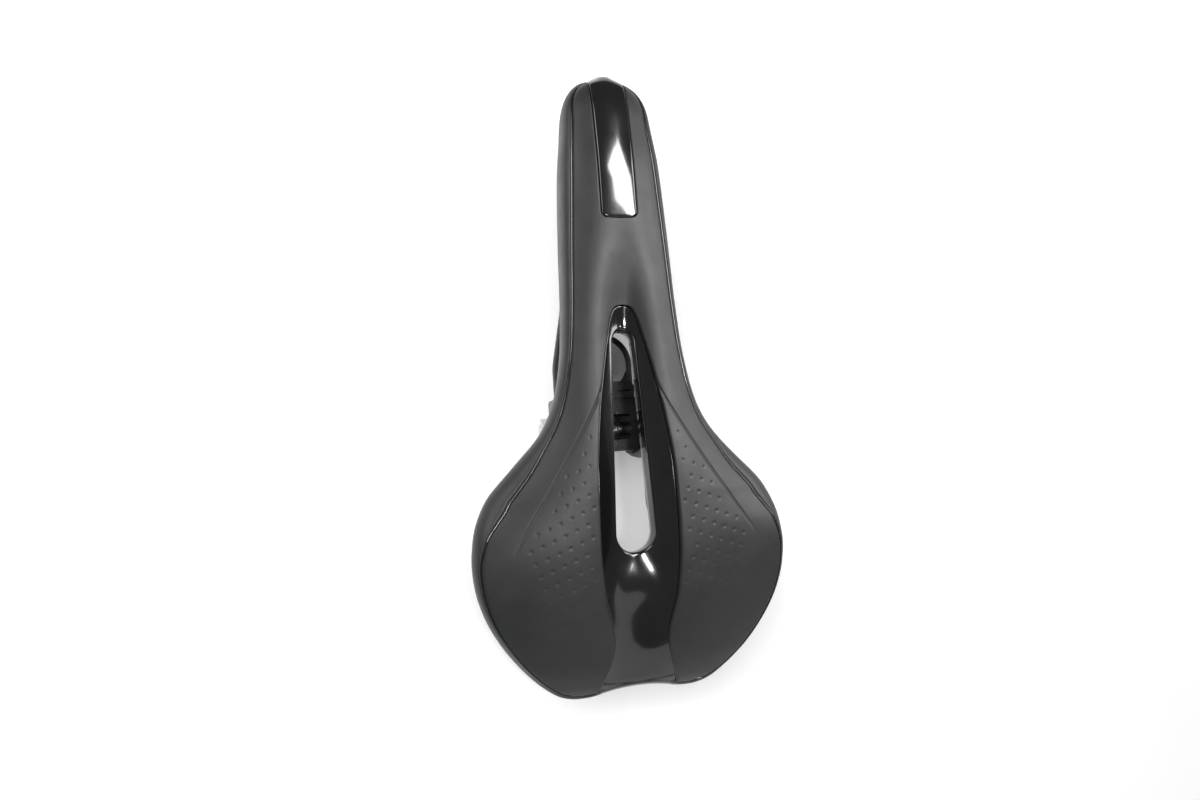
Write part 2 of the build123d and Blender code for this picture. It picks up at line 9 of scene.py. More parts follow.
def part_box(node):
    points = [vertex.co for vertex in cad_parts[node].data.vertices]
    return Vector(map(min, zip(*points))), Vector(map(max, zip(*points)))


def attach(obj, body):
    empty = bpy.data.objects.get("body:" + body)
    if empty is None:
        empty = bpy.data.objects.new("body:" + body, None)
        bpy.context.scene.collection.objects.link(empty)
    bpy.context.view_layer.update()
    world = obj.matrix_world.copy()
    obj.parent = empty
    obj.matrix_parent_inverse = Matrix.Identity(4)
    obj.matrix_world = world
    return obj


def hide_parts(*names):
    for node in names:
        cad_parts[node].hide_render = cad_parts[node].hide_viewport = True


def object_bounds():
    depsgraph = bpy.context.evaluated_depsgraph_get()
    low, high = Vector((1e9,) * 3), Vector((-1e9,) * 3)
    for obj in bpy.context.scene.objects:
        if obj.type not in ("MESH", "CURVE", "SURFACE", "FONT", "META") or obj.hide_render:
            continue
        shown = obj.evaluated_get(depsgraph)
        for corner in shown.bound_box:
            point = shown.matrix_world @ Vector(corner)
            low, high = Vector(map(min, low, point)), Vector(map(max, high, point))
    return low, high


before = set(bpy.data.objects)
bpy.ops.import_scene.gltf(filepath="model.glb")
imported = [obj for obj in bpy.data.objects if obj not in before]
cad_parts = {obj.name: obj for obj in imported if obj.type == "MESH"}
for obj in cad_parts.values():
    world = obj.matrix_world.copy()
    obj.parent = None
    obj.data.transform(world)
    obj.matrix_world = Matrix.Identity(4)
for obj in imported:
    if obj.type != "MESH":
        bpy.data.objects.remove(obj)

# A bicycle saddle with a centre cut-out on a seat post clamp. +Y is the nose, +X the rider's right, +Z up.
# Shapes are worked out in millimetres for the right side, and MM turns them into Blender's metres.
cad_low, cad_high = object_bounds()
MM = 0.001
WELD = 0.02

# ---- Profiles along the saddle, as (y, value) ----
HALF_WIDTH = [(-152, 40.2), (-147, 46.2), (-136, 56.3), (-125, 64.0), (-114, 69.6), (-102, 73.2), (-91, 74.3),
              (-79, 73.0), (-64, 66.9), (-49, 53.4), (-34, 40.0), (-22, 33.9), (-9, 30.5), (4, 28.4),
              (16, 27.4), (30, 26.5), (50, 25.7), (76, 24.4), (91, 23.4), (108, 21.4), (114, 20.9)]
SEAM_INSET = [(135, 2.2), (112, 3.4), (81, 3.9), (31, 3.2), (1, 3.0), (-16, 3.3), (-34, 4.8), (-49, 9.4),
              (-60, 10.6), (-70, 8.2), (-79, 5.2), (-94, 3), (-136, 2.4), (-156, 2.2)]
CROWN_Z = [(135, 64), (132, 68.6), (126, 72.6), (108, 76), (80, 78.3), (20, 78.3), (-10, 78.8), (-35, 80),
           (-54, 80.8), (-80, 80.2), (-105, 77.6), (-125, 73), (-140, 67), (-150, 60), (-156, 54.5)]
SEAM_Z = [(135, 61), (128, 67), (112, 71), (81, 73), (0, 73), (-30, 72), (-54, 71.2), (-79, 71.4), (-94, 70.6),
          (-114, 68.4), (-136, 63), (-150, 56.5), (-156, 52.5)]
VALLEY_DEPTH = [(135, 0), (70, 0), (50, 1.5), (35, 4), (22, 6.5), (6, 8.5), (-54, 9), (-84, 12), (-110, 10),
                (-130, 5), (-150, 0.5), (-156, 0)]
VALLEY_HALF = [(135, 8), (70, 8), (22, 10), (-20, 12), (-84, 14), (-156, 18)]
HEM_Z = [(135, 54), (127, 48), (106, 44), (60, 45), (20, 47), (-20, 49.5), (-50, 52), (-80, 53), (-110, 52),
         (-136, 49.5), (-156, 48)]
CHANNEL_HALF = [(22.5, 0.8), (20, 4.6), (6, 8.8), (-12, 12.6), (-29, 15.5), (-54, 18), (-84, 18.6),
                (-109, 16.8), (-130, 12.6), (-157, 20)]
CHANNEL_FLOOR_Z = [(22.5, 70.5), (12, 69), (-30, 68.5), (-92, 67), (-130, 64.5), (-150, 58.7), (-157, 53.2)]
EMBOSS_HALF = [(-8, 11.2), (-16, 13.6), (-39, 26.4), (-64, 42.4), (-88, 58.1), (-100, 66)]
PAD_DEPTH = [(135, 4), (121, 9), (97, 12), (20, 13), (-60, 14), (-110, 13), (-135, 8), (-156, 2)]

# ---- Sizes ----
SLOT_FRONT, SLOT_REAR = (5.5, 5.5), (-81.5, 9.3)     # the cut-out's round ends: centre's y and radius
SLOT_BOTTOM, SLOT_LIP, SLOT_ROLL = 60.5, 0.4, 1.5
PANEL_HALF, PANEL_REAR_Y, PANEL_CORNER, PANEL_GAP = 8.6, 61.5, 3.6, 0.25
PANEL_LIFT, STRIP_LIFT = 0.12, 0.15                  # how far the gloss parts stand out of the skirts
TAIL_EDGE = 19.0                                     # half width of the strip over the tail
TUCK_LENGTH, NOSE_TUCK = 1.2, 4.0                    # overlap of strip and skirts, and of panel and skirts
TUCK_DEPTH, NOSE_DEPTH, NOSE_FADE = 0.5, 0.45, 0.8   # how deep the lower one lies there
HEM_TUCK, BULGE_DROP = 3.0, 7.0
TAIL_OUTLINE = [(0, -153.2), (8, -153.6), (15, -154.8), (20.5, -156.2), (26, -156.9), (31.5, -156.3),
                (36.5, -154.6)]
NOSE_CENTRE_Y, NOSE_HALF, NOSE_LENGTH, NOSE_POWER = 112.0, 21.0, 21.6, 0.85
OUTLINE_STEP, OUTLINE_ROUNDS = 0.5, 60
TAIL_POINTS, NOSE_POINTS = 120, 60                   # points of the seam that hold its tail and its nose
LOBE_SEAM_X, LOBE_SEAM_Y, NOSE_SEAM_X = 24, -100, 5  # the seam's sides are outside or ahead of these
TRAY_SEAM_Y = -140                                   # behind it, the middle of the seam lies on the tray
SIDE_HEIGHT = 3.0                                    # least height of the side
CROWN_POWER, TRAY_SINK, TRAY_POWER, TRAY_ROOM = 2.4, 0.9, 1.8, 0.62
RIDGE_Y, RIDGE_LENGTH, RIDGE_HALF, RIDGE_HEIGHT = -104.5, 9.0, 9.0, 2.2   # swelling behind the cut-out
CHANNEL_TIP = [(4.0, 20.9), (3.0, 21.8), (1.6, 22.4), (0.0, 22.6)]
EDGE_ROLL, SEAM_ROLL, SEAM_GAP = 0.8, 1.0, 0.4
EMBOSS_WIDTH, EMBOSS_DEPTH = 0.55, 0.55
EMBOSS_START, EMBOSS_END = (9, 16), (76, 88)         # where the line fades in and out, towards the tail
DIMPLE_ROW, DIMPLE_COLUMN = (5.1, -1.93), (-1.93, -5.45)     # steps of the turned square lattice
DIMPLE_START, DIMPLE_R, DIMPLE_DEPTH = (17.5, -30.0), 0.56, 0.34
DIMPLE_FRONT, DIMPLE_REAR = -20, -126                # where the field of dimples starts and ends
DIMPLE_INNER, DIMPLE_OUTER = 2.4, 3.4                # its distance from the channel and the embossed line
DIMPLE_BEND, DIMPLE_HALF, DIMPLE_TAPER = -88, 54.7, 0.62   # behind the bend, its outer side narrows
BEAD_SINK, BEAD_R = 0.85, 0.55
PAD_TAIL, PAD_NOSE, PAD_INNER, PAD_OUTER = -141, 124, 2.2, 2.5
COVER_THICKNESS, PAD_UNDER_TOP, PAD_OVER_SHELL, PAD_THINNEST = 1.6, 3.4, 1.2, 1.0
PAD_ROWS, PAD_COLUMNS = 90, 14
PAD_VOXEL, PAD_PRESSURE, PAD_FRAMES, PAD_CAP = 4.0, 4.0, 20, 1.6
THREAD_PITCH, THREAD_DEPTH, BOLT_CHAMFER, BOLT_SIDES, BOLT_RINGS = 1.25, 0.62, 0.9, 24, 460
STAPLE_STATIONS = (-128, -112, -96, -80, -66, -52, -38, -22, -4, 16, 36, 56, 76, 98)
STAPLE_R, STAPLE_INSET, STAPLE_LIFT, STAPLE_LEG, STAPLE_LEAN = 0.45, 3.4, -1.25, 0.9, 0.05
STAPLE_REACH = 9                                     # points of the outline on each side of its middle


class Profile:
    """A smooth curve through (y, value) points, for arrays of y.

    Its slope at a point is the harmonic mean of the slopes beside it, so it doesn't overshoot.
    """

    def __init__(self, points):
        p = np.array(sorted(points), float)
        self.y, self.v = p[:, 0], p[:, 1]
        d = np.diff(self.v) / np.diff(self.y)
        m = np.zeros(len(p))
        m[0], m[-1] = d[0], d[-1]
        for i in range(1, len(p) - 1):
            a, b = d[i - 1], d[i]
            m[i] = 0.0 if a * b <= 0 else 2 * a * b / (a + b)
        self.m = m

    def __call__(self, y):
        y = np.clip(np.asarray(y, float), self.y[0], self.y[-1])
        i = np.clip(np.searchsorted(self.y, y, side="right") - 1, 0, len(self.y) - 2)
        h = self.y[i + 1] - self.y[i]
        t = (y - self.y[i]) / h
        return ((1 + 2 * t) * (1 - t) ** 2 * self.v[i] + t * (1 - t) ** 2 * h * self.m[i]
                + t * t * (3 - 2 * t) * self.v[i + 1] - t * t * (1 - t) * h * self.m[i + 1])


half_width, seam_inset, crown_z, seam_z = map(Profile, (HALF_WIDTH, SEAM_INSET, CROWN_Z, SEAM_Z))
valley_depth, valley_half, hem_z, pad_depth = map(Profile, (VALLEY_DEPTH, VALLEY_HALF, HEM_Z, PAD_DEPTH))
channel_half, channel_floor, emboss_half = map(Profile, (CHANNEL_HALF, CHANNEL_FLOOR_Z, EMBOSS_HALF))


def smooth(a, b, x):
    """0 below a, 1 above b, and smooth between them."""
    t = np.clip((np.asarray(x, float) - a) / (b - a), 0, 1)
    return t * t * (3 - 2 * t)


def arc_length(points):
    """Length along a polyline at each of its points."""
    return np.concatenate([[0], np.cumsum(np.linalg.norm(np.diff(points, axis=0), axis=1))])


def resample(points, count=None, spacing=None):
    """A polyline's points at even arc lengths."""
    lengths = arc_length(points)
    n = count or max(2, int(round(lengths[-1] / spacing)) + 1)
    s = np.linspace(0, lengths[-1], n)
    return np.stack([np.interp(s, lengths, points[:, k]) for k in range(points.shape[1])], 1)


def along(curve, lengths, at_length):
    """Plan points of a curve at arc lengths along it."""
    return np.stack([np.interp(at_length, lengths, curve[:, k]) for k in range(2)], -1)


# ---- Plan outlines of the right side, from the tail to the nose ----
def bulge_outline():
    """The greatest width of the side, from the middle of the tail to the tip of the nose.

    The corners are smoothed as if the outline went on into its mirror image at both ends.
    """
    sides = [(float(half_width(y)), y) for y in np.arange(-152, 113, 2.0)]
    nose = [(NOSE_HALF * max(math.cos(a), 0.0) ** NOSE_POWER, NOSE_CENTRE_Y + NOSE_LENGTH * math.sin(a))
            for a in np.linspace(0.12, math.pi / 2, 22)]
    curve = resample(np.array(TAIL_OUTLINE + sides + nose), spacing=OUTLINE_STEP)
    for _ in range(OUTLINE_ROUNDS):
        ends = 0.5 * (curve[[0, -1], 1] + curve[[1, -2], 1])
        curve[1:-1] = 0.25 * curve[:-2] + 0.5 * curve[1:-1] + 0.25 * curve[2:]
        curve[[0, -1], 1] = ends
    return resample(curve, spacing=OUTLINE_STEP)


BULGE = bulge_outline()
tangent = np.gradient(BULGE, axis=0)
tangent /= np.linalg.norm(tangent, axis=1)[:, None]
NORMAL = np.stack([tangent[:, 1], -tangent[:, 0]], 1)
INSET = seam_inset(BULGE[:, 1]) * np.clip(np.abs(NORMAL[:, 0]), 0.75, 1)
SEAM = BULGE - NORMAL * INSET[:, None]
SEAM_LEN = arc_length(SEAM)


def seam_width(y):
    """Half width of the seam at y, without the parts of it that run across the tail and the nose."""
    keep = SEAM[np.argsort(SEAM[:, 1])]
    keep = keep[(keep[:, 0] > LOBE_SEAM_X) | ((keep[:, 1] > LOBE_SEAM_Y) & (keep[:, 0] > NOSE_SEAM_X))]
    return np.interp(y, keep[:, 1], keep[:, 0])


ROWS = np.linspace(-157, 136, 587)
ROW_WIDTH = np.maximum(seam_width(ROWS), 6)


def top_z(x, y, valley=1.0):
    """Height of the cover's smooth surface."""
    share = np.clip(np.abs(x) / np.interp(y, ROWS, ROW_WIDTH), 0, 1)
    crown, seam = crown_z(y), seam_z(y)
    dip = valley * valley_depth(y) * np.exp(-((x / valley_half(y)) ** 2))
    return crown - (crown - seam) * share ** CROWN_POWER - dip * (1 - share ** 2)


def tray_z(x, y):
    """Height of the gloss tray's surface, which sinks below the cover's edge."""
    half = channel_half(y) + 1.0
    edge = top_z(half - 1.0, y) - TRAY_SINK
    low = np.minimum(channel_floor(y), edge)
    ridge = RIDGE_HEIGHT * np.exp(-((y - RIDGE_Y) / RIDGE_LENGTH) ** 2 - (x / RIDGE_HALF) ** 2)
    return low + (edge - low) * np.clip(np.abs(x) / half, 0, 1) ** TRAY_POWER + ridge


# ---- Mesh helpers ----
def to_object(name, verts, faces):
    """A smooth-shaded mesh object from millimetre vertices and faces, with near vertices welded."""
    mesh = bpy.data.meshes.new(name)
    mesh.from_pydata((np.asarray(verts, float) * MM).tolist(), [], faces)
    mesh.validate()
    obj = bpy.data.objects.new(name, mesh)
    bpy.context.scene.collection.objects.link(obj)
    bm = bmesh.new()
    bm.from_mesh(mesh)
    bmesh.ops.remove_doubles(bm, verts=bm.verts, dist=WELD * MM)
    bmesh.ops.recalc_face_normals(bm, faces=bm.faces)
    bm.to_mesh(mesh)
    bm.free()
    mesh.polygons.foreach_set("use_smooth", [True] * len(mesh.polygons))
    return obj


def grid_faces(rows, cols, start=0, flip=False):
    """Quads of a rows by cols grid of vertices."""
    faces = []
    for i in range(rows - 1):
        a = start + i * cols
        b = a + cols
        for j in range(cols - 1):
            quad = (a + j, a + j + 1, b + j + 1, b + j)
            faces.append(quad[::-1] if flip else quad)
    return faces


def grid_object(name, grid, mirror=True):
    """An object from a grid of points, with its mirror image across the middle if asked."""
    rows, cols = grid.shape[:2]
    verts = grid.reshape(-1, 3)
    faces = grid_faces(rows, cols)
    if mirror:
        faces += grid_faces(rows, cols, start=len(verts), flip=True)
        verts = np.concatenate([verts, verts * np.array([-1, 1, 1])])
    return to_object(name, verts, faces)


def join(name, *objects):
    """One object from several."""
    bpy.ops.object.select_all(action="DESELECT")
    for obj in objects:
        obj.select_set(True)
    bpy.context.view_layer.objects.active = objects[0]
    bpy.ops.object.join()
    objects[0].name = name
    return objects[0]


def tube(name, path, radius, sides=10):
    """A round tube along a smooth path that is nowhere vertical."""
    t = np.gradient(path, axis=0)
    t /= np.linalg.norm(t, axis=1)[:, None]
    side = np.cross(t, np.array([0, 0, 1.0]))
    side /= np.linalg.norm(side, axis=1)[:, None]
    over = np.cross(side, t)
    rings = []
    for k in range(sides + 1):
        a = 2 * math.pi * k / sides
        rings.append(path + radius * (math.cos(a) * side + math.sin(a) * over))
    return grid_object(name, np.stack(rings, 1), mirror=False)


def capped_tube(name, grid):
    """An object from rings of points, its two ends closed by fans to their middles."""
    first, last = (np.repeat(grid[[end]].mean(axis=1, keepdims=True), grid.shape[1], axis=1) for end in (0, -1))
    return grid_object(name, np.concatenate([first, grid, last]), mirror=False)


# ---- Cover: rays from the inner edge to the seam ----
def inner_outline():
    """The cover's inner edge: the channel from the tail to its tip, the middle, the nose panel."""
    points = [(float(channel_half(y)), y) for y in np.arange(-153.5, 20.5, 0.5)]
    points += CHANNEL_TIP
    points += [(0.0, y) for y in np.arange(23.5, PANEL_REAR_Y, 1.0)]
    points += [(0.0, PANEL_REAR_Y), (PANEL_HALF - PANEL_CORNER, PANEL_REAR_Y)]
    for a in np.linspace(0, math.pi / 2, 7)[1:]:
        points.append((PANEL_HALF - PANEL_CORNER + PANEL_CORNER * math.sin(a),
                       PANEL_REAR_Y + PANEL_CORNER * (1 - math.cos(a))))
    front = float(np.interp(L_NOSE, SEAM_LEN, SEAM[:, 1])) - 2.0
    points += [(PANEL_HALF, y) for y in np.arange(66, front, 1.0)] + [(PANEL_HALF, front)]
    return np.array(points, float)


def on_seam(y=None, x=None, nose=False):
    """Arc length along the seam where it passes y, or where it passes x at the tail or the nose."""
    if y is not None:
        low = SEAM[:, 1].argmin()
        return float(np.interp(y, SEAM[low:, 1], SEAM_LEN[low:]))
    if nose:
        return float(np.interp(-x, -SEAM[-NOSE_POINTS:, 0], SEAM_LEN[-NOSE_POINTS:]))
    return float(np.interp(x, SEAM[:TAIL_POINTS, 0], SEAM_LEN[:TAIL_POINTS]))


# Arc lengths along the seam at the edges of the tail strip and of the nose panel.
L_TAIL, L_NOSE = on_seam(x=TAIL_EDGE), on_seam(x=PANEL_HALF + 0.2, nose=True)
INNER = inner_outline()
INNER_LEN = arc_length(INNER)


def inner_at(y, x=None):
    """Arc length along the inner outline of its point nearest (x, y)."""
    d = np.abs(INNER[:, 1] - y) + (0 if x is None else np.abs(INNER[:, 0] - x))
    return float(INNER_LEN[d.argmin()])


# The cover's rays: arc lengths where they start on the inner edge, and where they end on the seam.
PAIRS = [(inner_at(-153.5), L_TAIL), (inner_at(-140), on_seam(y=-150.5)), (inner_at(-126), on_seam(y=-137)),
         (inner_at(-108), on_seam(y=-114)), (inner_at(-88), on_seam(y=-88)), (inner_at(-40), on_seam(y=-40)),
         (inner_at(20), on_seam(y=20)), (inner_at(24, 0), on_seam(y=24)),
         (inner_at(PANEL_REAR_Y, 0), on_seam(y=58)), (inner_at(66, PANEL_HALF), on_seam(y=67)),
         (INNER_LEN[-1], L_NOSE)]


def dimple_drop(x, y):
    """How far the cover dips at (x, y) for the perforation dimples."""
    (ax, ay), (bx, by), (ox, oy) = DIMPLE_ROW, DIMPLE_COLUMN, DIMPLE_START
    det = ax * by - ay * bx
    i = np.round(((x - ox) * by - (y - oy) * bx) / det)
    j = np.round((ax * (y - oy) - ay * (x - ox)) / det)
    cx, cy = ox + i * ax + j * bx, oy + i * ay + j * by
    limit = np.where(cy > DIMPLE_BEND, emboss_half(cy) - DIMPLE_OUTER,
                     DIMPLE_HALF - (DIMPLE_BEND - cy) * DIMPLE_TAPER)
    inside = (cx > channel_half(cy) + DIMPLE_INNER) & (cx < limit) & (cy < DIMPLE_FRONT) & (cy > DIMPLE_REAR)
    fade = 1 - 0.6 * smooth(70, 124, -cy)
    d2 = (x - cx) ** 2 + (y - cy) ** 2
    return np.where(inside, DIMPLE_DEPTH * fade * np.exp(-d2 / DIMPLE_R ** 2), 0)


def emboss_drop(x, y):
    """How far the cover dips at (x, y) for the embossed line."""
    slope = emboss_half(y + 0.5) - emboss_half(y - 0.5)
    off = (x - emboss_half(y)) / np.sqrt(1 + slope ** 2)
    strength = smooth(*EMBOSS_START, -y) * (1 - smooth(*EMBOSS_END, -y))
    return strength * EMBOSS_DEPTH * np.exp(-(off / EMBOSS_WIDTH) ** 2)


def cover_z(x, y):
    """Height of the cover with its dimples and embossed line."""
    return top_z(x, y) - dimple_drop(x, y) - emboss_drop(x, y)


def build_cover():
    """The cover: rays from its inner edge to the seam, rolled down at both ends. Steps are finer at details."""
    stops = [0, inner_at(-128), inner_at(-8), inner_at(15), inner_at(26, 0), inner_at(60, 0),
             inner_at(67, PANEL_HALF), INNER_LEN[-1]]
    steps = (1.2, 0.46, 1.0, 0.35, 1.2, 0.4, 1.3)
    rays = np.concatenate([np.arange(a, b, step) for a, b, step in zip(stops, stops[1:], steps)]
                          + [[INNER_LEN[-1]]])
    inner = along(INNER, INNER_LEN, rays)
    source, target = np.array(PAIRS).T
    outer = along(SEAM, SEAM_LEN, np.interp(rays, source, target))
    way = outer - inner
    way /= np.linalg.norm(way, axis=1)[:, None]
    # The edge is rolled down at the channel and the panel, and lies flat along the middle between them.
    rolled = ((inner[:, 0] > 0.4) & (rays < inner_at(22.5))) | (inner[:, 1] > PANEL_REAR_Y - 0.2)
    rolled = rolled[:, None].astype(float)
    columns = []

    def put(plan, lift):
        x, y = plan[:, 0], plan[:, 1]
        columns.append(np.stack([x, y, cover_z(np.abs(x), y) + lift], 1))

    start = inner + way * EDGE_ROLL * rolled
    put(inner, -2.6 * rolled[:, 0])
    put(inner, -1.4 * rolled[:, 0])
    for a in (80, 55, 30):
        r = math.radians(a)
        put(start - way * EDGE_ROLL * math.sin(r) * rolled, -EDGE_ROLL * (1 - math.cos(r)) * rolled[:, 0])
    end = outer - way * (SEAM_ROLL + SEAM_GAP)
    for t in np.linspace(0, 1, 100):
        put(start + (end - start) * t, 0)
    for a in (25, 50, 75):
        r = math.radians(a)
        put(end + way * SEAM_ROLL * math.sin(r), -SEAM_ROLL * (1 - math.cos(r)))
    put(outer - way * SEAM_GAP, -1.8)
    put(outer + way * 0.9, -2.3)
    return grid_object("cover_skin", np.stack(columns, 1))


# ---- Side skirts: from the seam round the bulge to the folded hem ----
def side_curve(index):
    """The side's curve at points of the outline: seam and normal in plan, then start, control and hem.

    The last three are (out, z) pairs, out along the normal. The curve's middle is at the full width.
    """
    seam = SEAM[index]
    out = INSET[index]
    zs = top_z(seam[:, 0], seam[:, 1])
    beside = smooth(TAIL_EDGE - 3.0, TAIL_EDGE + 0.6, seam[:, 0])
    on_tray = tray_z(seam[:, 0], seam[:, 1]) * (1 - beside) + zs * beside
    zs = np.where(seam[:, 1] < TRAY_SEAM_Y, on_tray, zs)
    zh = np.minimum(hem_z(BULGE[index][:, 1]), zs - SIDE_HEIGHT)
    zb = np.maximum(zs - BULGE_DROP, (zs + zh) / 2)
    hem = np.stack([out - HEM_TUCK, zh], 1)
    start = np.stack([np.zeros_like(zs), zs], 1)
    control = 2 * np.stack([out, zb], 1) - (start + hem) / 2
    return seam, NORMAL[index], start, control, hem


def side_points(index, w, push=0.0):
    """Points of the side's curve at w from 0 at the seam to 1 at the hem."""
    seam, normal, start, control, hem = side_curve(index)
    p = (1 - w) ** 2 * start + 2 * w * (1 - w) * control + w * w * hem
    plan = seam + normal * (p[:, :1] + push)
    return np.column_stack([plan, p[:, 1]])


def side_at(lengths, w, push):
    """Points of the side's curve at arc lengths along the seam."""
    place = np.interp(lengths, SEAM_LEN, np.arange(len(SEAM)))
    low = np.minimum(place.astype(int), len(SEAM) - 2)
    part = (place - low)[:, None]
    return side_points(low, w, push) * (1 - part) + side_points(low + 1, w, push) * part


def hem_points(index, inward, lift):
    """Points of the folded hem, that far inside its outer edge and above its underside."""
    seam, normal, _, _, hem = side_curve(index)
    plan = seam + normal * (hem[:, :1] - inward)
    plan[:, 0] = np.maximum(plan[:, 0], 0.0)
    return np.column_stack([plan, hem[:, 1] + lift])


def build_skirt(name, side):
    """A side skirt, from the tail strip to under the nose panel, with its folded hem."""
    index = np.nonzero((SEAM_LEN >= L_TAIL) & (SEAM_LEN <= L_NOSE + NOSE_TUCK))[0][::2]
    seam, normal, start, _, _ = side_curve(index)
    sunk = NOSE_DEPTH * smooth(L_NOSE, L_NOSE + NOSE_FADE, SEAM_LEN[index])[:, None]
    columns = []
    for out, lift in ((-0.5, -2.6), (0.35, -2.2), (0.35, -1.3), (0.45, -0.75)):
        columns.append(np.column_stack([seam + normal * (out - sunk), start[:, 1] + lift]))
    for w in np.linspace(0.07, 1, 26):
        columns.append(side_points(index, w, -sunk))
    for inward, lift in ((0.25, -0.55), (0.9, -0.95), (1.8, -1.0), (3.0, -1.0), (4.6, -1.0), (6.2, -1.0),
                         (6.6, -0.6), (6.6, 0.9), (4.0, 1.2)):
        columns.append(hem_points(index, inward, lift))
    grid = np.stack(columns, 1)
    grid[:, :, 0] *= side
    return grid_object(name, grid, mirror=False)


# ---- Gloss nose panel ----
def build_nose_panel():
    """The panel along the nose: columns of points that run forwards, over the nose and under it."""
    reach = PANEL_HALF - PANEL_GAP
    xs = [(0.0, 0.0)] + [(x, 0.0) for x in np.linspace(0.9, reach - 0.7, 10)]
    xs += [(reach - 0.35, -0.08), (reach - 0.1, -0.28), (reach, -0.6), (reach, -1.6)]
    near = np.nonzero(SEAM_LEN > L_NOSE - 8.0)[0]
    columns = []
    for x, lift in xs:
        over = min(max(0.0, x - (PANEL_HALF - PANEL_CORNER)), PANEL_CORNER - 0.3)
        rear = PANEL_REAR_Y + PANEL_GAP + PANEL_CORNER - math.sqrt(PANEL_CORNER ** 2 - over ** 2)
        front_y = np.interp(on_seam(x=x, nose=True), SEAM_LEN, SEAM[:, 1])
        ys = np.concatenate([[0, 0, 0.12, 0.4, 0.8], np.linspace(1.6, front_y - rear, 66)]) + rear
        roll = np.concatenate([[-1.6, -0.6, -0.28, -0.08, 0.0], np.zeros(66)])
        top = np.column_stack([np.full_like(ys, x), ys, top_z(x, ys) + np.minimum(roll, lift) + PANEL_LIFT])
        push = PANEL_LIFT + 0.4 * lift
        curves = [side_points(near, w, push)[::-1] for w in np.linspace(0.07, 1, 14)]
        curves += [hem_points(near, *place)[::-1] for place in ((0.6, -0.9), (3.5, -1.0), (3.5, 0.8))]
        down = np.array([[x] + [np.interp(x, curve[:, 0], curve[:, k]) for k in (1, 2)] for curve in curves])
        columns.append(np.concatenate([top, down]))
    return grid_object("nose_strip", np.stack(columns, 1))


# ---- Gloss tray round the cut-out ----
def slot_outline():
    """Right half of the cut-out's outline, from its front to its rear."""
    (front_y, front_r), (rear_y, rear_r) = SLOT_FRONT, SLOT_REAR
    meet = math.pi / 2 + math.asin((rear_r - front_r) / (front_y - rear_y))
    front = [(front_r * math.sin(a), front_y + front_r * math.cos(a)) for a in np.linspace(0, meet, 40)]
    rear = [(rear_r * math.sin(a), rear_y + rear_r * math.cos(a)) for a in np.linspace(meet, math.pi, 60)]
    return resample(np.array(front + rear), count=220)


